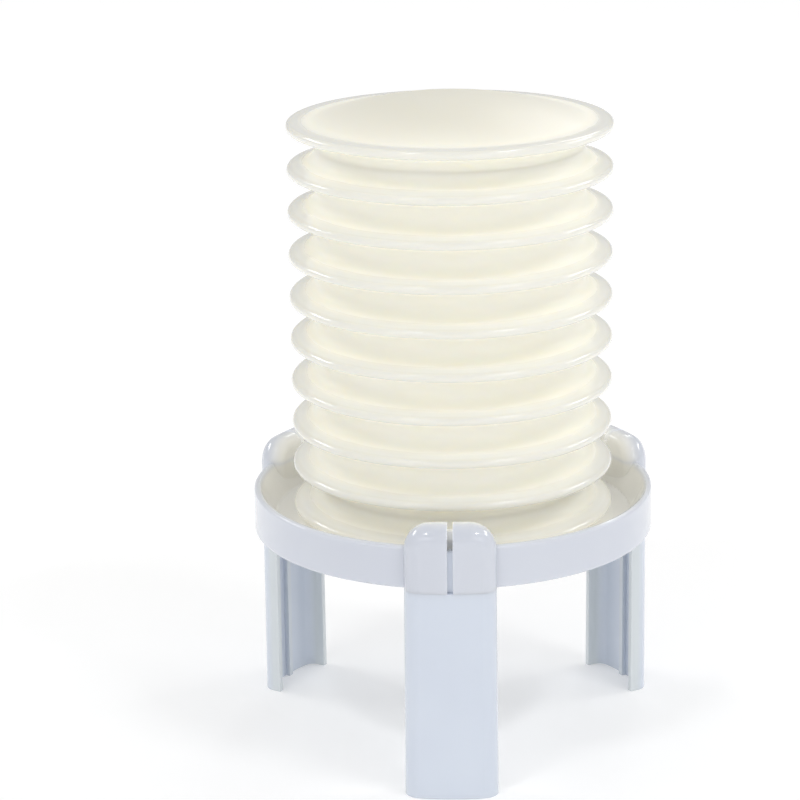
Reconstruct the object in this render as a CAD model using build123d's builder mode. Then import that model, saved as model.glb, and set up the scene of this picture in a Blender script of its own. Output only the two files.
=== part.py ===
from build123d import *
import os
from math import cos, radians, sin, tan

# Hand pump that blows the shell off a boiled egg: a soft bellows stands in a round tray on three
# plug-in legs, and the egg sits in a soft seal in the middle of the tray.
# Millimetres. Z is the axis of the bellows, the feet stand on Z = 0, and the front leg is on -Y.

# Bellows: a soft moulding with flanges outside and a valley between each pair of them
flange_radius = 60.0
flange_count = 10
flange_pitch = 16.0
lowest_flange_z = 88.2
rim_round = 1.6  # round edge of a flange, half as thick as the flange is there
flank_slope = 14.0  # degrees that a flange's sides fall or rise towards its edge
brim_slope = 2.5  # degrees, the top flange's upper side
valley_radius = 49.5
bellows_wall = 1.3
inner_rim_round = 0.4
lip_radius = 54.5
lip_width = 3.5
lip_round = 0.5
crown_z = 242.0
crown_fall = 1.3  # from the middle of the top to its shoulder
shoulder_radius = 28.0
trough_radius = 50.0  # where the dome rises from the brim
trough_round = 8.0
crown_round = 140.0

# Tray: a dish with a skirt, three leg sockets and a collar under its middle
floor_z = 83.6
floor_thickness = 2.2
dish_floor_radius = 67.0
dish_round = 1.0
rim_z = 94.7
rim_radius = 75.0
rim_width = 2.3
skirt_foot_z = 78.9
skirt_foot_radius = 75.2
skirt_wall = 2.1
dish_wall = 2.0
passage_radius = 25.0  # clear way for the egg
collar_radius = 31.8
collar_wall = 2.2
collar_foot_z = 71.5
rib_count = 6
rib_width = 1.6
rib_depth = 5.0

# Leg sockets, flush with the legs below them
leg_count = 3
seam_z = 78.8
socket_radius = 79.8
socket_width = 33.0
socket_inner = 68.2  # distance of the flat inner face from the axis
socket_top_z = 103.2
socket_corner = 6.0  # round round the outer face
socket_inner_corner = 4.0  # round round the inner face
socket_shoulder = 9.5  # corners of the top, seen from outside
socket_wall = 2.0
pocket_top_z = 95.6  # low enough to leave a full wall under the rounded shoulders
slit_width = 2.0
slit_inner = 73.0  # distance from the axis where the slit stops inside the socket
slit_top_depth = 3.8  # how deep it runs on across the socket's top

# Legs: channels open towards the axis, with a tongue that fills the socket
leg_names = ("leg_front", "leg_right", "leg_left")
leg_foot_spread = 0.45  # how much wider each side is at the foot, as the mould's draft
leg_inner = 70.3
leg_wall = 2.1
leg_rib_width = 2.2
leg_rib_depth = 1.8
shoulder_thickness = 3.0
fit = 0.15
tongue_wall = 1.8
tongue_clearance = 1.4  # from the tongue's end to the pocket's ceiling
tongue_end_chamfer = 0.6

# Egg seal: a soft ring that funnels down to a hole smaller than the egg
seal_flange_thickness = 2.0
seal_hole_radius = 13.5
seal_hole_z = 73.9
seal_skin = 1.5
seal_lip_round = 1.4
seal_gap = 0.2

# Seal ring: turns onto the collar's lugs and presses the seal up against the tray
lug_count = 3
lug_sweep = 40.0  # degrees
lug_height = 1.8
lug_reach = 1.8
lug_gap = 0.25
ring_foot_z = 69.3
ring_foot_thickness = 1.9
ring_wall = 2.2
ring_round = 0.6
grip_count = 24
grip_radius = 1.1

os.makedirs("parts", exist_ok=True)


def half_section(corners):
    """Closed face to turn about the axis, from (radius, height, corner round) triples."""
    with BuildSketch(mode=Mode.PRIVATE) as section:
        with BuildLine():
            FilletPolyline(
                [(r, z) for r, z, _ in corners],
                radius=[corner for _, _, corner in corners],
                close=True,
            )
        make_face()
    return section.sketch


# --- Bellows -----------------------------------------------------------------------------------


def flange_edge(z, upper_slope, inset):
    """Corner where a flange's two sides meet, before its edge is rounded."""
    half_angle = radians(upper_slope + flank_slope) / 2
    lean = radians(flank_slope - upper_slope) / 2
    reach = (rim_round - inset) / sin(half_angle)
    edge_round = max(rim_round - inset, inner_rim_round)
    rim_centre = flange_radius - rim_round
    return (rim_centre + reach * cos(lean), z + reach * sin(lean), edge_round)


def valley(z, inset):
    """Corner where two flanges' sides meet in the valley, and the round that fills it."""
    slope = radians(flank_slope)
    outer_edge = flange_radius - rim_round + rim_round / sin(slope)
    outer_corner = outer_edge - flange_pitch / 2 / tan(slope)
    outer_round = (valley_radius - outer_corner) / (1 / sin(slope) - 1)
    return (outer_corner - inset / sin(slope), z, outer_round + inset)


def folded_side(inset):
    """Flange and valley corners from the lowest flange to the brim, inset into the wall."""
    corners = []
    for n in range(flange_count):
        z = lowest_flange_z + n * flange_pitch
        if n < flange_count - 1:
            corners.append(flange_edge(z, flank_slope, inset))
            corners.append(valley(z + flange_pitch / 2, inset))
        else:
            corners.append(flange_edge(z, brim_slope, inset))
    return corners


def crown_side(inset):
    """The shallow dome, from its foot on the brim to the axis."""
    brim_r, brim_z, _ = flange_edge(brim_z_centre, brim_slope, 0)
    trough_z = brim_z + (brim_r - trough_radius) * tan(radians(brim_slope))
    return [
        (trough_radius, trough_z - inset, trough_round),
        (shoulder_radius, crown_z - crown_fall - inset, crown_round),
        (0, crown_z - inset, 0),
    ]


def flank_height(radius, inset):
    """Height of the lowest flange's underside at a radius."""
    edge_r, edge_z, _ = flange_edge(lowest_flange_z, flank_slope, inset)
    return edge_z - (edge_r - radius) * tan(radians(flank_slope))


brim_z_centre = lowest_flange_z + (flange_count - 1) * flange_pitch
lip_inner_radius = lip_radius - lip_width
bellows_corners = [
    (lip_inner_radius, floor_z, lip_round),
    (lip_radius, floor_z, lip_round),
    (lip_radius, flank_height(lip_radius, 0), 0.8),
    *folded_side(0),
    *crown_side(0),
    *reversed(crown_side(bellows_wall)),
    *reversed(folded_side(bellows_wall)),
    (lip_inner_radius, flank_height(lip_inner_radius, bellows_wall), 0.8),
]
foot_top_z = lowest_flange_z + flange_pitch / 2
cap_foot_z = brim_z_centre - flange_pitch / 2


bellows_section = half_section(bellows_corners)


def bellows_slice(z_low, z_high):
    """The part of the bellows' half section between two heights."""
    with BuildSketch(mode=Mode.PRIVATE) as band:
        add(bellows_section)
        with Locations((0, z_low)):
            Rectangle(
                3 * flange_radius,
                z_high - z_low,
                align=(Align.CENTER, Align.MIN),
                mode=Mode.INTERSECT,
            )
    return band.sketch


with BuildPart() as bellows_foot:
    with BuildSketch(Plane.XZ):
        add(bellows_slice(floor_z, foot_top_z))
    revolve(axis=Axis.Z)
bellows_foot.part.label = "bellows_foot"

with BuildPart() as bellows_folds:
    with BuildSketch(Plane.XZ):
        add(bellows_slice(foot_top_z, cap_foot_z))
    revolve(axis=Axis.Z)
bellows_folds.part.label = "bellows_folds"

with BuildPart() as bellows_cap:
    with BuildSketch(Plane.XZ):
        add(bellows_slice(cap_foot_z, crown_z))
    revolve(axis=Axis.Z)
bellows_cap.part.label = "bellows_cap"


# --- Plan outlines of a socket, its pocket, a leg and its tongue --------------------------------


def arc_block(radius, half_width, inner, corner):
    """Plan outline on -Y: an outer arc about the axis, straight sides and a flat inner face."""
    with BuildSketch(mode=Mode.PRIVATE) as block:
        Circle(radius)
        with Locations((0, -inner)):
            Rectangle(2 * half_width, radius, align=(Align.CENTER, Align.MAX), mode=Mode.INTERSECT)
        if corner:
            fillet(block.vertices().sort_by(Axis.Y)[:2], corner)
    return block.sketch


def channel(radius, half_width, inner, corner, wall):
    """Plan outline of a leg: an arc block hollowed from its inner side, with one rib."""
    with BuildSketch(mode=Mode.PRIVATE) as section:
        add(arc_block(radius, half_width, inner, corner))
        hollow_radius = radius - wall
        hollow = arc_block(hollow_radius, half_width - wall, inner - wall, corner - wall)
        add(hollow, mode=Mode.SUBTRACT)
        with Locations((0, -(hollow_radius - leg_rib_depth))):
            Rectangle(
                leg_rib_width, leg_rib_depth + wall / 2, align=(Align.CENTER, Align.MAX)
            )
    return section.sketch


half_socket = socket_width / 2
pocket_radius = socket_radius - socket_wall
pocket_half_width = half_socket - socket_wall
pocket_inner = socket_inner + socket_wall
pocket_corner = socket_corner - socket_wall
socket_plan = arc_block(socket_radius, half_socket, socket_inner, 0)
pocket_plan = arc_block(pocket_radius, pocket_half_width, pocket_inner, pocket_corner)
shoulder_plan = arc_block(socket_radius, half_socket, leg_inner, socket_corner)
leg_plan = channel(socket_radius, half_socket, leg_inner, socket_corner, leg_wall)
foot_plan = channel(
    socket_radius + leg_foot_spread / 2,
    half_socket + leg_foot_spread,
    leg_inner,
    socket_corner,
    leg_wall,
)
tongue_plan = channel(
    pocket_radius - fit,
    pocket_half_width - fit,
    pocket_inner + fit,
    pocket_corner - fit,
    tongue_wall,
)


# --- Tray --------------------------------------------------------------------------------------

with BuildPart() as socket:
    with BuildSketch(Plane.XY.offset(seam_z)):
        add(socket_plan)
    extrude(amount=socket_top_z - seam_z)
    with BuildSketch(Plane.XZ.offset(socket_inner)) as front_view:
        with Locations((0, seam_z)):
            Rectangle(
                socket_width, socket_top_z - seam_z, align=(Align.CENTER, Align.MIN)
            )
        fillet(front_view.vertices().sort_by(Axis.Y)[-2:], socket_shoulder)
    extrude(amount=socket_radius, mode=Mode.INTERSECT)
    for face, face_round in (
        (socket.faces().sort_by(Axis.Y)[0], socket_corner),
        (socket.faces().sort_by(Axis.Y)[-1], socket_inner_corner),
    ):
        fillet(face.edges().sort_by(Axis.Z)[1:], face_round)

floor_underside_z = floor_z - floor_thickness
dish_top_radius = rim_radius - rim_width
dish_lean = (dish_top_radius - dish_floor_radius) / (rim_z - floor_z)
dish_back_offset = dish_wall * (1 + dish_lean**2) ** 0.5
skirt_inner_radius = rim_radius - skirt_wall


def dish_back_radius(z):
    """Radius of the dish wall's hidden outer side at a height."""
    return dish_floor_radius + dish_back_offset + (z - floor_z) * dish_lean


crease_z = floor_z + (skirt_inner_radius - dish_floor_radius - dish_back_offset) / dish_lean
tray_corners = [
    (skirt_foot_radius, skirt_foot_z, 0.9),
    (rim_radius, rim_z, 1.1),
    (dish_top_radius, rim_z, 1.1),
    (dish_floor_radius, floor_z, dish_round),
    (passage_radius, floor_z, 1.0),
    (passage_radius, floor_underside_z, 0.4),
    (collar_radius - collar_wall, floor_underside_z, 0),
    (collar_radius - collar_wall, collar_foot_z, 0.4),
    (collar_radius, collar_foot_z, 0.4),
    (collar_radius, floor_underside_z, 0.8),
    (dish_back_radius(floor_underside_z), floor_underside_z, 1.0),
    (skirt_inner_radius, crease_z, 0.5),
    (skirt_foot_radius - skirt_wall, skirt_foot_z, 0.5),
]

with BuildPart() as tray:
    with BuildSketch(Plane.XZ):
        add(half_section(tray_corners))
    revolve(axis=Axis.Z)
    # Ribs under the floor, from the collar to the dish wall
    rib_outer = dish_floor_radius - 1.0
    with BuildSketch(Plane.XY.offset(floor_underside_z + 0.5)):
        with PolarLocations(0, rib_count, start_angle=-90):
            with Locations(((collar_radius + rib_outer) / 2, 0)):
                Rectangle(rib_outer - collar_radius + 1.0, rib_width)
    extrude(amount=-rib_depth - 0.5)
    with PolarLocations(0, leg_count):
        add(socket.part)
    # Pocket and slit of each socket
    with BuildSketch(Plane.XY.offset(seam_z)):
        with PolarLocations(0, leg_count):
            add(pocket_plan)
    extrude(amount=pocket_top_z - seam_z, mode=Mode.SUBTRACT)
    with BuildSketch(Plane.XY.offset(seam_z)):
        with PolarLocations(0, leg_count):
            with Locations((0, -(slit_inner + socket_radius) / 2)):
                Rectangle(slit_width, socket_radius - slit_inner + 2 * socket_wall)
    extrude(amount=socket_top_z - seam_z, mode=Mode.SUBTRACT)
    with BuildSketch(Plane.XY.offset(socket_top_z)):
        with PolarLocations(0, leg_count):
            with Locations((0, -(slit_inner + socket_inner) / 2)):
                Rectangle(slit_width, slit_inner - socket_inner + 2)
    extrude(amount=-slit_top_depth, mode=Mode.SUBTRACT)
    # Lugs round the collar's foot
    with BuildSketch(Plane.XY.offset(collar_foot_z)):
        Circle(collar_radius + lug_reach)
        Circle(collar_radius - 0.5, mode=Mode.SUBTRACT)
        with PolarLocations(0, lug_count):
            SlotArc(
                CenterArc((0, 0), collar_radius, -lug_sweep / 2, lug_sweep),
                4 * lug_reach,
                mode=Mode.INTERSECT,
            )
    extrude(amount=lug_height)
tray.part.label = "tray"


# --- Legs --------------------------------------------------------------------------------------

legs = []
for n, name in enumerate(leg_names):
    turn = (0, 0, 360 * n / leg_count)
    with BuildPart() as leg:
        with BuildSketch(Plane.XY.rotated(turn)):
            add(foot_plan)
        with BuildSketch(Plane.XY.offset(seam_z).rotated(turn)):
            add(leg_plan)
        loft()
        with BuildSketch(Plane.XY.offset(seam_z).rotated(turn)):
            add(shoulder_plan)
        extrude(amount=-shoulder_thickness)
        with BuildSketch(Plane.XY.offset(seam_z).rotated(turn)):
            add(tongue_plan)
        extrude(amount=pocket_top_z - tongue_clearance - seam_z)
        chamfer(leg.faces().sort_by(Axis.Z)[-1].edges(), tongue_end_chamfer)
    leg.part.label = name
    legs.append(leg.part)


# --- Egg seal and seal ring --------------------------------------------------------------------

seat_radius = collar_radius - collar_wall
seal_foot_z = floor_underside_z - seal_flange_thickness
seal_neck_radius = passage_radius - seal_gap
seal_corners = [
    (seat_radius - seal_gap, floor_underside_z, 0.3),
    (seal_neck_radius, floor_underside_z, 1.0),
    (seal_hole_radius + seal_lip_round, seal_hole_z + 2 * seal_lip_round, 0.8),
    (seal_hole_radius, seal_hole_z + seal_lip_round, 0.6),
    (seal_hole_radius, seal_hole_z, 0.5),
    (seal_hole_radius + seal_lip_round, seal_hole_z, 0.5),
    (seal_neck_radius - 2 * seal_skin, seal_foot_z - seal_skin, 1.0),
    (seal_neck_radius, seal_foot_z, 0.4),
    (seat_radius - seal_gap, seal_foot_z, 0.3),
]

with BuildPart() as egg_seal:
    with BuildSketch(Plane.XZ):
        add(half_section(seal_corners))
    revolve(axis=Axis.Z)
egg_seal.part.label = "egg_seal"

ring_inner_wall_radius = seat_radius - seal_gap
ring_skirt_radius = collar_radius + lug_reach + lug_gap
ring_outer_radius = ring_skirt_radius + ring_wall
ring_floor_z = ring_foot_z + ring_foot_thickness
lug_floor_z = collar_foot_z + lug_height + lug_gap
ring_top_z = lug_floor_z + lug_height
ring_corners = [
    (passage_radius, ring_foot_z, ring_round),
    (ring_outer_radius, ring_foot_z, 1.2),
    (ring_outer_radius, ring_top_z, ring_round),
    (ring_skirt_radius, ring_top_z, 0.3),
    (ring_skirt_radius, ring_floor_z, 0.4),
    (ring_inner_wall_radius, ring_floor_z, 0.2),
    (ring_inner_wall_radius, seal_foot_z, 0.3),
    (passage_radius, seal_foot_z, 0.5),
]

with BuildPart() as seal_ring:
    with BuildSketch(Plane.XZ):
        add(half_section(ring_corners))
    revolve(axis=Axis.Z)
    # Lugs inside its skirt, over the collar's lugs
    with BuildSketch(Plane.XY.offset(lug_floor_z)):
        Circle(ring_skirt_radius + 0.5)
        Circle(collar_radius + lug_gap, mode=Mode.SUBTRACT)
        with PolarLocations(0, lug_count):
            SlotArc(
                CenterArc((0, 0), collar_radius, -lug_sweep / 2, lug_sweep),
                4 * lug_reach,
                mode=Mode.INTERSECT,
            )
    extrude(amount=lug_height)
    # Finger flutes round the outside
    with BuildSketch(Plane.XY.offset(ring_foot_z)):
        with PolarLocations(ring_outer_radius + 0.3, grip_count):
            Circle(grip_radius)
    extrude(amount=ring_top_z - ring_foot_z, mode=Mode.SUBTRACT)
seal_ring.part.label = "seal_ring"

for piece in (
    bellows_foot.part,
    bellows_folds.part,
    bellows_cap.part,
    tray.part,
    *legs,
    egg_seal.part,
    seal_ring.part,
):
    export_step(piece, f"parts/{piece.label}.step")
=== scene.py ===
"""Looks of the egg peeler: a soft bellows in a round tray on three plug-in legs.

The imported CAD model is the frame. The stiff mouldings keep their CAD meshes and get materials
here. The bellows is soft, so its three nodes are replaced by finer meshes that share one
outline. Metres throughout, with Z along the axis of the bellows.
"""
import math

import bmesh
import bpy
from mathutils import Matrix, Vector, noise


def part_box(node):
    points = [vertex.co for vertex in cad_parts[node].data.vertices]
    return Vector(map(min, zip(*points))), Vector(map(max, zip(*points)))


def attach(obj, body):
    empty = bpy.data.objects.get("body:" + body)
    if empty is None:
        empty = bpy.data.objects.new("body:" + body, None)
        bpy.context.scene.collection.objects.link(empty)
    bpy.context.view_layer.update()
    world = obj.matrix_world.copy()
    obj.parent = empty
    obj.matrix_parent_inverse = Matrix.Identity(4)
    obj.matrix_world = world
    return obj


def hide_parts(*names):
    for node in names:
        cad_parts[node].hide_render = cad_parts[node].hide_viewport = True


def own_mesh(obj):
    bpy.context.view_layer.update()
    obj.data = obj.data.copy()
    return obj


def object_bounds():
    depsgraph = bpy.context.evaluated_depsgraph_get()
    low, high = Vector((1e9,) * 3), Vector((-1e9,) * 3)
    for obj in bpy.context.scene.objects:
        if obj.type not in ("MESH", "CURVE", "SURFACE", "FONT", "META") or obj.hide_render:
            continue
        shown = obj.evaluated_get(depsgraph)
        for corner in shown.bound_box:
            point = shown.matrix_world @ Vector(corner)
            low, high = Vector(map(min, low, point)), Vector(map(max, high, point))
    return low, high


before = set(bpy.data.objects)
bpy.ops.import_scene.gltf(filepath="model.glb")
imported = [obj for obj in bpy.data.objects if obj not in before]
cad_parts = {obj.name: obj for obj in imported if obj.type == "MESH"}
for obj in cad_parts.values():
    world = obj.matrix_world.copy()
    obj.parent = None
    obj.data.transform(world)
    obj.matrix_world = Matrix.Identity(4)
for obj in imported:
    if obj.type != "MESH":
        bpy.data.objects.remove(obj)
cad_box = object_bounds()
MM = 0.001

foot_low, foot_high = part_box("bellows_foot")
folds_low, folds_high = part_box("bellows_folds")
cap_low, cap_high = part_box("bellows_cap")

# Bellows
FOLD_COUNT = 8  # flanges between the foot's and the cap's
PITCH = (folds_high.z - folds_low.z) / FOLD_COUNT
RIM = folds_high.x  # radius of a flange's edge
RIM_ROUND = 1.6 * MM
FLANK_SLOPE = math.radians(14.0)
BRIM_SLOPE = math.radians(2.5)
VALLEY_RADIUS = 49.5 * MM
DOME_FOOT = 50.0 * MM
DOME_FOOT_ROUND = 8.0 * MM
DOME_SHOULDER = 28.0 * MM
DOME_ROUND = 140.0 * MM
DOME_FALL = 1.3 * MM  # from the middle of the dome to its shoulder
LIP_OUTER = 54.5 * MM
LIP_WIDTH = 3.5 * MM
LIP_ROUND = 0.5 * MM
LIP_TOP_ROUND = 0.8 * MM
SEGMENTS = 240
SWAY = 0.16 * MM  # how far the flanges' free edges waver up and down
SHRINK = 0.12 * MM  # and inwards

# Bands of the tray whose inside is painted lighter and given a painted glow, unlike its outside
DISH_FLOOR = foot_low.z
RIM_RADII = (71.5 * MM, 74.2 * MM)
RIM_HEIGHTS = (92.5 * MM, 96.5 * MM)
POST_RADII = (69.0 * MM, 76.5 * MM)

# Slits down the sockets' outer faces
SEAM = 78.9 * MM  # just above where the sockets stand on the legs' shoulders
SLIT_INNER = 69.5 * MM
SLIT_OUTER = 79.4 * MM
SLIT_HALF_ANGLE = math.radians(0.936)  # as seen from the axis

CHANNEL_RADII = (74.5 * MM, 77.8 * MM)  # the outer half of a leg's channel, to its bottom


# --- Camera: a long lens a little above the tray ---------------------------------------------------

CAMERA_PLACE = Vector((0.01524, -1.01614, 0.43301))
CAMERA_YAW = math.radians(-1.957)  # from +Y towards +X
CAMERA_PITCH = math.radians(16.764)  # downwards
CAMERA_ROLL = math.radians(-0.810)
CAMERA_LENS = 127.194  # mm
CAMERA_SENSOR = 36.0  # mm


def make_camera():
    forward = Vector((
        math.sin(CAMERA_YAW) * math.cos(CAMERA_PITCH),
        math.cos(CAMERA_YAW) * math.cos(CAMERA_PITCH),
        -math.sin(CAMERA_PITCH),
    ))
    level = Vector((math.cos(CAMERA_YAW), -math.sin(CAMERA_YAW), 0.0))
    upright = level.cross(forward)
    right = level * math.cos(CAMERA_ROLL) + upright * math.sin(CAMERA_ROLL)
    up = upright * math.cos(CAMERA_ROLL) - level * math.sin(CAMERA_ROLL)
    data = bpy.data.cameras.new("camera")
    data.sensor_width = CAMERA_SENSOR
    data.lens = CAMERA_LENS
    data.clip_end = 50.0
    camera = bpy.data.objects.new("camera", data)
    turn = Matrix((right, up, -forward)).transposed()
    camera.matrix_world = Matrix.Translation(CAMERA_PLACE) @ turn.to_4x4()
    bpy.context.scene.collection.objects.link(camera)
    bpy.context.scene.camera = camera


# --- Materials -------------------------------------------------------------------------------------


def srgb(r, g, b):
    """Linear colour of an 8-bit sRGB one."""
    def linear(v):
        v /= 255.0
        return v / 12.92 if v <= 0.04045 else ((v + 0.055) / 1.055) ** 2.4
    return (linear(r), linear(g), linear(b), 1.0)


class Nodes:
    """Short names for making and linking shader nodes."""

    def __init__(self, name):
        self.material = bpy.data.materials.new(name)
        self.material.use_nodes = True
        self.tree = self.material.node_tree
        self.shader = self.tree.nodes["Principled BSDF"]

    def add(self, kind, inputs=None, **settings):
        """A new node, whose inputs, named or numbered, are linked to sockets or set to values."""
        node = self.tree.nodes.new(kind)
        for key, value in settings.items():
            setattr(node, key, value)
        for key, value in (inputs or {}).items():
            if isinstance(value, bpy.types.NodeSocket):
                self.tree.links.new(value, node.inputs[key])
            else:
                node.inputs[key].default_value = value
        return node

    def link(self, output, key):
        self.tree.links.new(output, self.shader.inputs[key])

    def place(self):
        return self.add("ShaderNodeTexCoord").outputs["Object"]

    def noise(self, vector, scale, detail=2.0, roughness=0.5, distortion=0.0):
        node = self.add("ShaderNodeTexNoise", {
            "Vector": vector, "Scale": scale, "Detail": detail, "Roughness": roughness,
            "Distortion": distortion,
        })
        return node.outputs["Fac"]

    def spread(self, value, low, high, to_low=0.0, to_high=1.0):
        """A smooth step from one value to another as the input goes from low to high."""
        node = self.add("ShaderNodeMapRange", {
            "Value": value, "From Min": low, "From Max": high, "To Min": to_low, "To Max": to_high,
        }, interpolation_type="SMOOTHSTEP")
        return node.outputs["Result"]

    def mix(self, factor, first, second):
        inputs = {0: factor, 6: first, 7: second}
        return self.add("ShaderNodeMix", inputs, data_type="RGBA").outputs[2]

    def math(self, operation, first, second=0.0):
        return self.add("ShaderNodeMath", {0: first, 1: second}, operation=operation).outputs[0]

    def times(self, first, second):
        return self.math("MULTIPLY", first, second)

    def largest(self, first, second):
        return self.math("MAXIMUM", first, second)

    def bump(self, height, distance, strength=1.0, normal=None):
        inputs = {"Height": height, "Distance": distance, "Strength": strength}
        if normal is not None:
            inputs["Normal"] = normal
        return self.add("ShaderNodeBump", inputs).outputs["Normal"]

    def set(self, **values):
        for key, value in values.items():
            self.shader.inputs[key.replace("_", " ")].default_value = value


def radius_and_height(n, place):
    """Distance from the axis of the bellows, and height."""
    parts = n.add("ShaderNodeSeparateXYZ", {"Vector": place}).outputs
    square = n.math("ADD", n.times(parts["X"], parts["X"]), n.times(parts["Y"], parts["Y"]))
    return n.math("SQRT", square), parts["Z"]


def slit_mask(n, place, radius, height):
    """1 inside the sockets' slits, which face -Y and 120 degrees to each side of it."""
    y = n.add("ShaderNodeSeparateXYZ", {"Vector": place}).outputs["Y"]
    cosine = n.math("DIVIDE", n.times(y, -1.0), radius)
    # the cosine of three times the angle from -Y is 1 at the middle of every socket
    cube = n.times(n.math("POWER", n.math("ABSOLUTE", cosine), 3.0), n.math("SIGN", cosine))
    triple = n.math("SUBTRACT", n.times(cube, 4.0), n.times(cosine, 3.0))
    middle = n.math("GREATER_THAN", triple, math.cos(3 * SLIT_HALF_ANGLE))
    deep = n.times(n.math("LESS_THAN", radius, SLIT_OUTER),
                   n.math("GREATER_THAN", radius, SLIT_INNER))
    return n.times(n.times(middle, deep), n.math("GREATER_THAN", height, SEAM))


def rubber_material():
    """Creamy translucent rubber: whiter and glossier where the flanges thin out; painted shade
    darkens their outermost rims and the top of the cap, and a painted glow warms the folds' hollows
    and the foot.
    """
    n = Nodes("bellows_rubber")
    place = n.place()
    radius, height = radius_and_height(n, place)
    cloud = n.noise(place, 22.0, 3.0, 0.55)
    grain = n.noise(place, 240.0, 3.0, 0.6)
    smear = n.noise(place, 60.0, 4.0, 0.6, 0.4)

    cream = n.mix(n.spread(cloud, 0.3, 0.7), srgb(253, 250, 238), srgb(251, 247, 234))
    white = n.mix(n.spread(cloud, 0.35, 0.65), srgb(239, 239, 233), srgb(237, 237, 231))
    thin = n.spread(radius, 50.5 * MM, 57.0 * MM)
    # painted shade: the outermost rims of the flanges and the top of the cap are painted darker
    edge = n.spread(radius, 57.0 * MM, 59.2 * MM)
    dome_shade = n.spread(height, cap_high.z - 11.0 * MM, cap_high.z - 1.0 * MM, 0.0, 0.95)
    specks = n.spread(n.noise(place, 900.0, 1.0), 0.76, 0.84)
    colour = n.mix(thin, cream, white)
    colour = n.mix(edge, colour, srgb(228, 227, 219))
    colour = n.mix(dome_shade, colour, srgb(229, 226, 211))
    n.link(n.mix(n.times(specks, 0.06), colour, srgb(198, 190, 160)), "Base Color")

    matt = n.spread(radius, 52.0 * MM, 56.0 * MM, 0.30, 0.0)
    n.link(n.math("ADD", n.spread(smear, 0.3, 0.75, 0.10, 0.17), matt), "Roughness")
    n.link(n.spread(radius, 52.0 * MM, 56.0 * MM, 0.0, 0.45), "Coat Weight")
    n.link(n.bump(grain, 0.006 * MM, 0.5, n.bump(cloud, 0.10 * MM, 0.35)), "Normal")

    # painted glow: emission stands in for light that comes through the thin walls, warming the
    # folds' hollows, and most of all the foot's bottom rim
    below_brim = n.spread(height, cap_high.z - 10.0 * MM, cap_high.z - 6.0 * MM, 1.0, 0.0)
    valley_glow = n.times(n.spread(radius, 52.5 * MM, 57.0 * MM, 0.045, 0.0), below_brim)
    lip_glow = n.spread(height, DISH_FLOOR + 0.4 * MM, DISH_FLOOR + 8.4 * MM, 0.20, 0.0)
    n.link(n.largest(valley_glow, lip_glow), "Emission Strength")
    n.set(IOR=1.47, Coat_Roughness=0.05, Emission_Color=(1.0, 0.92, 0.74, 1.0),
          Subsurface_Weight=0.7, Subsurface_Scale=0.008, Subsurface_Radius=(1.0, 0.92, 0.75))
    return n.material


def moulded_plastic(name, colour, shade, seed):
    """Glossy moulded plastic: faint flow clouds, orange peel and rubbed patches in the gloss.

    Gives its nodes and its tint, which is left to link.
    """
    n = Nodes(name)
    shifted = n.add("ShaderNodeVectorMath", {0: n.place(), 1: (seed, seed * 0.7, 0.0)}).outputs[0]
    flow = n.noise(shifted, 14.0, 3.0, 0.5, 0.6)
    peel = n.noise(shifted, 330.0, 2.0, 0.45)
    wear = n.noise(shifted, 75.0, 5.0, 0.65, 0.3)
    n.link(n.spread(wear, 0.35, 0.75, 0.12, 0.22), "Roughness")
    n.link(n.bump(peel, 0.004 * MM, 0.45, n.bump(flow, 0.06 * MM, 0.3)), "Normal")
    n.set(IOR=1.5, Coat_Weight=0.3, Coat_Roughness=0.05, Subsurface_Weight=0.3,
          Subsurface_Scale=0.004, Subsurface_Radius=(1.0, 0.98, 0.96))
    return n, n.mix(n.spread(flow, 0.32, 0.68), colour, shade)


def paint_glow(n, strength):
    """A painted glow: emission that stands in for light coming through a moulding's walls."""
    n.link(strength, "Emission Strength")
    n.set(Emission_Color=(0.95, 0.97, 1.0, 1.0))


def tray_material():
    """Plastic with painted light: painted lighter and warmer, with a painted glow, in the bowl and
    on the sockets' inner faces, and a painted glow in the slits.
    """
    n, tint = moulded_plastic("tray_plastic", srgb(212, 216, 225), srgb(208, 212, 222), 1.3)
    place = n.place()
    radius, height = radius_and_height(n, place)
    # painted light: masks for the bowl and the sockets' inner faces, which get a lighter colour and
    # a painted glow
    level = n.times(n.spread(height, DISH_FLOOR - 1.6 * MM, DISH_FLOOR + 0.4 * MM),
                    n.spread(height, *RIM_HEIGHTS, 1.0, 0.0))
    dish_light = n.times(n.spread(radius, *RIM_RADII, 1.0, 0.0), level)
    post_light = n.times(n.spread(radius, *POST_RADII, 1.0, 0.0), n.spread(height, *RIM_HEIGHTS))
    n.link(n.mix(n.largest(dish_light, post_light), tint, srgb(240, 239, 234)), "Base Color")
    # painted glow in the bowl, on the sockets' inner faces and in the slits
    inside = n.math("ADD", n.times(dish_light, 0.045), n.times(post_light, 0.1125))
    paint_glow(n, n.largest(n.times(slit_mask(n, place, radius, height), 0.14), inside))
    return n.material


def leg_material():
    """Plastic painted a little less blue and lighter inside the legs' channels, with a painted glow
    there and in the slits.
    """
    n, tint = moulded_plastic("leg_plastic", srgb(213, 220, 231), srgb(210, 217, 229), 4.1)
    place = n.place()
    radius, height = radius_and_height(n, place)
    # painted light: the channels' inner faces are painted lighter and less blue and given a painted
    # glow
    channel_light = n.spread(radius, *CHANNEL_RADII, 1.0, 0.0)
    n.link(n.mix(channel_light, tint, srgb(215, 221, 224)), "Base Color")
    # painted glow in the slits
    slits = n.times(slit_mask(n, place, radius, height), 0.07)
    paint_glow(n, n.largest(slits, n.times(channel_light, 0.0175)))
    return n.material


def ring_material():
    n, tint = moulded_plastic("ring_plastic", srgb(215, 221, 224), srgb(215, 221, 224), 7.7)
    n.link(tint, "Base Color")
    return n.material


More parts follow.
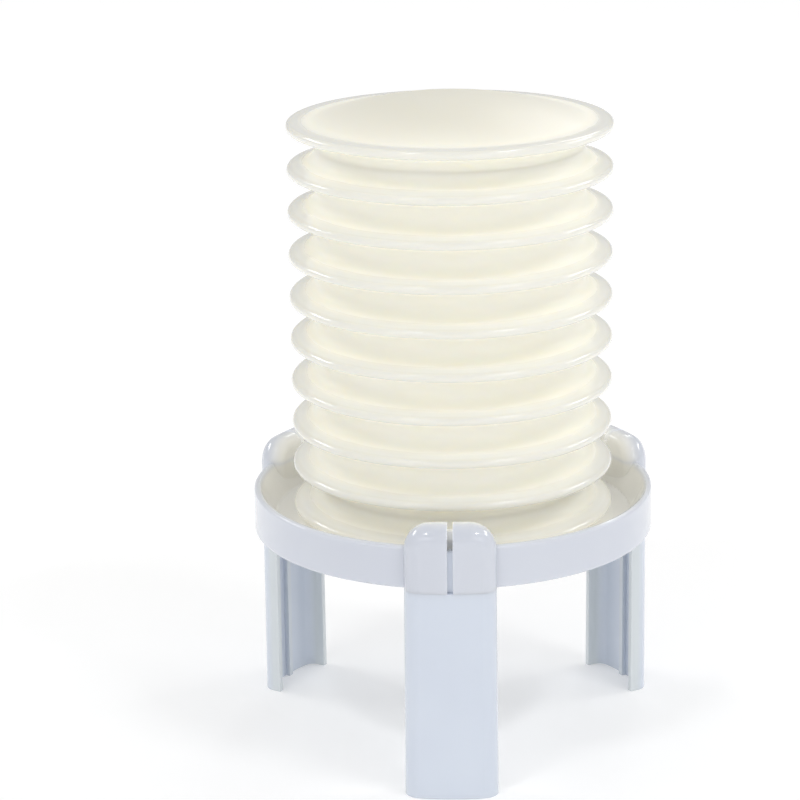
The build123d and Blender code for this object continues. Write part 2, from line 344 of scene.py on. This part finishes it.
def seal_material():
    """Matt silicone with a fine powdery grain."""
    n = Nodes("seal_silicone")
    place = n.place()
    grain = n.noise(place, 700.0, 3.0, 0.6)
    cloud = n.noise(place, 40.0, 2.0)
    n.link(n.mix(n.spread(cloud, 0.3, 0.7), srgb(226, 226, 220), srgb(214, 216, 212)), "Base Color")
    n.link(n.spread(cloud, 0.3, 0.7, 0.42, 0.55), "Roughness")
    n.link(n.bump(grain, 0.01 * MM, 0.5), "Normal")
    n.set(IOR=1.43, Subsurface_Weight=0.3, Subsurface_Scale=0.004,
          Subsurface_Radius=(1.0, 0.95, 0.85))
    return n.material


def floor_material():
    """White paper with a faint tooth, which glows more further away, where less light falls."""
    n = Nodes("floor_paper")
    place = n.place()
    radius, _ = radius_and_height(n, place)
    tooth = n.noise(place, 60.0, 4.0, 0.6)
    n.link(n.mix(tooth, (0.88, 0.88, 0.88, 1.0), (0.90, 0.90, 0.90, 1.0)), "Base Color")
    n.link(n.spread(radius, 0.5, 2.0, 0.20, 0.45), "Emission Strength")
    n.set(Roughness=0.75, Specular_IOR_Level=0.2, Emission_Color=(1.0, 1.0, 1.0, 1.0))
    return n.material


def dress(piece, material):
    """Gives every slot of a CAD node's object the material."""
    if not piece.material_slots:
        piece.data.materials.append(material)
    for slot in piece.material_slots:
        slot.material = material


# --- Bellows ---------------------------------------------------------------------------------------


def filleted(corners, longest=2.2 * MM, finest=math.radians(5)):
    """Points along a line of straight runs whose corners, (radius, height, round), are rounded."""
    line = [Vector(corners[0][:2])]
    for before, here, after in zip(corners, corners[1:], corners[2:]):
        corner, bend = Vector(here[:2]), here[2]
        back = (Vector(before[:2]) - corner).normalized()
        ahead = (Vector(after[:2]) - corner).normalized()
        half = back.angle(ahead) / 2
        middle = corner + (back + ahead).normalized() * (bend / math.sin(half))
        start = corner + back * (bend / math.tan(half)) - middle
        turn = start.angle_signed(corner + ahead * (bend / math.tan(half)) - middle)
        count = max(6, math.ceil(abs(turn) / finest), math.ceil(abs(turn) * bend / longest))
        # close points at the arc's middle keep the shading whole where two meshes meet there
        steps = sorted({i / count for i in range(count + 1)} | {0.496, 0.5, 0.504})
        for step in steps:
            a = -turn * step
            line.append(middle + Vector((
                start.x * math.cos(a) - start.y * math.sin(a),
                start.x * math.sin(a) + start.y * math.cos(a))))
    line.append(Vector(corners[-1][:2]))
    points = [line[0]]
    for point in line[1:]:
        span = (point - points[-1]).length
        if span < 1e-6:
            continue
        count = math.ceil(span / longest)
        first = points[-1]
        points.extend(first.lerp(point, i / count) for i in range(1, count + 1))
    return points


def flange_edge(z, upper_slope):
    """Corner where a flange's two sides meet, before its edge is rounded."""
    reach = RIM_ROUND / math.sin((upper_slope + FLANK_SLOPE) / 2)
    lean = (FLANK_SLOPE - upper_slope) / 2
    return (RIM - RIM_ROUND + reach * math.cos(lean), z + reach * math.sin(lean), RIM_ROUND)


def valley(z):
    """Corner where two flanges' sides meet in the valley, and the round that fills it."""
    outer_edge = RIM - RIM_ROUND + RIM_ROUND / math.sin(FLANK_SLOPE)
    corner = outer_edge - PITCH / 2 / math.tan(FLANK_SLOPE)
    return (corner, z, (VALLEY_RADIUS - corner) / (1 / math.sin(FLANK_SLOPE) - 1))


def cut_at(points, height):
    """Splits a line in a valley, so that both parts hold the point at this height."""
    for i, (low, high) in enumerate(zip(points, points[1:])):
        if low.y < height - 1e-7 <= high.y:
            part = (height - low.y) / (high.y - low.y)
            middle = low.lerp(high, part)
            rest = points[i + 1:]
            if part > 0.99:
                rest = rest[1:]
            return points[:i + 1] + [middle], [middle] + rest
    raise ValueError(height)


def turned(name, rings, closed_axis=False):
    """A turned mesh from (radius, height) rings, with the soft waviness of a rubber moulding."""
    mesh = bpy.data.meshes.new(name)
    bm = bmesh.new()
    loops = []
    for r, z in rings:
        loop = []
        for i in range(SEGMENTS):
            turn = 2 * math.pi * i / SEGMENTS
            direction = Vector((math.cos(turn), math.sin(turn), 0.0))
            # only the free edges of the flanges waver, and only inwards, up and down
            free = max(0.0, min(1.0, (r - 52 * MM) / (8 * MM))) ** 2
            seed = direction * 1.6 + Vector((0, 0, z * 55))
            sway = noise.noise(seed) * SWAY * free
            shrink = (0.5 + 0.5 * noise.noise(seed + Vector((9.1, 3.3, 0)))) * SHRINK * free
            loop.append(bm.verts.new(direction * (r - shrink) + Vector((0, 0, z + sway))))
        loops.append(loop)
    for low, high in zip(loops, loops[1:]):
        for i in range(SEGMENTS):
            j = (i + 1) % SEGMENTS
            bm.faces.new((low[i], low[j], high[j], high[i]))
    if closed_axis:
        top = bm.verts.new((0.0, 0.0, rings[-1].y))
        for i in range(SEGMENTS):
            bm.faces.new((loops[-1][i], loops[-1][(i + 1) % SEGMENTS], top))
    bm.to_mesh(mesh)
    bm.free()
    for face in mesh.polygons:
        face.use_smooth = True
    piece = bpy.data.objects.new(name, mesh)
    bpy.context.scene.collection.objects.link(piece)
    return piece


def build_bellows():
    rubber = rubber_material()
    lowest = foot_high.z - PITCH / 2
    brim = lowest + (FOLD_COUNT + 1) * PITCH
    top = cap_high.z

    # The whole outline, from inside the lip up to the axis
    edge_r, edge_z, _ = flange_edge(lowest, FLANK_SLOPE)
    underside = edge_z - (edge_r - LIP_OUTER) * math.tan(FLANK_SLOPE)
    lip_inner = LIP_OUTER - LIP_WIDTH
    corners = [
        (lip_inner, underside + 1.0 * MM, 0.0),
        (lip_inner, foot_low.z, LIP_ROUND),
        (LIP_OUTER, foot_low.z, LIP_ROUND),
        (LIP_OUTER, underside, LIP_TOP_ROUND),
    ]
    for k in range(FOLD_COUNT + 1):
        corners += [flange_edge(lowest + k * PITCH, FLANK_SLOPE), valley(lowest + (k + 0.5) * PITCH)]
    brim_r, brim_z, _ = brim_edge = flange_edge(brim, BRIM_SLOPE)
    corners += [
        brim_edge,
        (DOME_FOOT, brim_z + (brim_r - DOME_FOOT) * math.tan(BRIM_SLOPE), DOME_FOOT_ROUND),
        (DOME_SHOULDER, top - DOME_FALL, DOME_ROUND),
        (0.5 * MM, top, 0.0),
    ]
    foot_line, rest = cut_at(filleted(corners), foot_high.z)
    folds_line, cap_line = cut_at(rest, cap_low.z)

    foot = turned("bellows_foot_skin", foot_line)
    folds = turned("bellows_folds_skin", folds_line)
    cap = turned("bellows_cap_skin", cap_line, closed_axis=True)
    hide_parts("bellows_foot")
    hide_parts("bellows_folds")
    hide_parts("bellows_cap")

    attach(foot, "bellows")
    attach(folds, "bellows")
    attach(cap, "bellows_cap")
    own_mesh(folds)
    for piece in (foot, folds, cap):
        piece.data.materials.append(rubber)


# --- Floor and light -------------------------------------------------------------------------------

# Azimuth (0 towards -Y, 90 towards +X) and elevation in degrees, distance, width, height, watts
SOFT_BOXES = {
    "front_left": (-28, 24, 1.8, 1.1, 0.55, 2.7),
    "front_right": (34, 24, 1.8, 1.1, 0.55, 2.7),
    "key_left": (-34, 56, 1.5, 0.26, 0.10, 2.2),
    "key_right": (52, 54, 1.5, 0.36, 0.10, 2.9),
    "back": (168, 30, 1.5, 0.30, 0.12, 0.9),
    "side_left": (-116, 32, 1.5, 0.70, 0.22, 3.8),
    "side_right": (112, 32, 1.5, 0.70, 0.22, 3.8),
}
FLOOR_HALF_SIZE = 8.0
WORLD_STRENGTH = 0.55


def soft_box(name, azimuth, elevation, distance, width, height, power, target):
    """A rectangular light that faces the target from a distance."""
    data = bpy.data.lights.new(name, "AREA")
    data.shape = "RECTANGLE"
    data.size = width
    data.size_y = height
    data.energy = power
    a, e = math.radians(azimuth), math.radians(elevation)
    outwards = Vector((math.sin(a) * math.cos(e), -math.cos(a) * math.cos(e), math.sin(e)))
    light = bpy.data.objects.new(name, data)
    light.location = target + distance * outwards
    light.rotation_euler = (-outwards).to_track_quat("-Z", "Y").to_euler()
    bpy.context.scene.collection.objects.link(light)


def build_stage():
    mesh = bpy.data.meshes.new("floor")
    bm = bmesh.new()
    bmesh.ops.create_grid(bm, x_segments=40, y_segments=40, size=FLOOR_HALF_SIZE)
    bm.to_mesh(mesh)
    bm.free()
    floor = bpy.data.objects.new("floor", mesh)
    floor.data.materials.append(floor_material())
    bpy.context.scene.collection.objects.link(floor)

    low, high = cad_box
    middle = (low + high) / 2
    for name, settings in SOFT_BOXES.items():
        soft_box(name, *settings, middle)

    world = bpy.data.worlds.new("studio")
    world.use_nodes = True
    sky = world.node_tree.nodes["Background"].inputs
    sky["Color"].default_value = (1.0, 1.0, 1.0, 1.0)
    sky["Strength"].default_value = WORLD_STRENGTH
    scene = bpy.context.scene
    scene.world = world
    scene.view_settings.view_transform = "Standard"
    scene.view_settings.look = "None"


# --- The whole -------------------------------------------------------------------------------------

make_camera()
build_stage()
build_bellows()

leg_plastic = leg_material()
for node, material in (
    ("tray", tray_material()),
    ("leg_front", leg_plastic),
    ("leg_right", leg_plastic),
    ("leg_left", leg_plastic),
    ("seal_ring", ring_material()),
    ("egg_seal", seal_material()),
):
    dress(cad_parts[node], material)
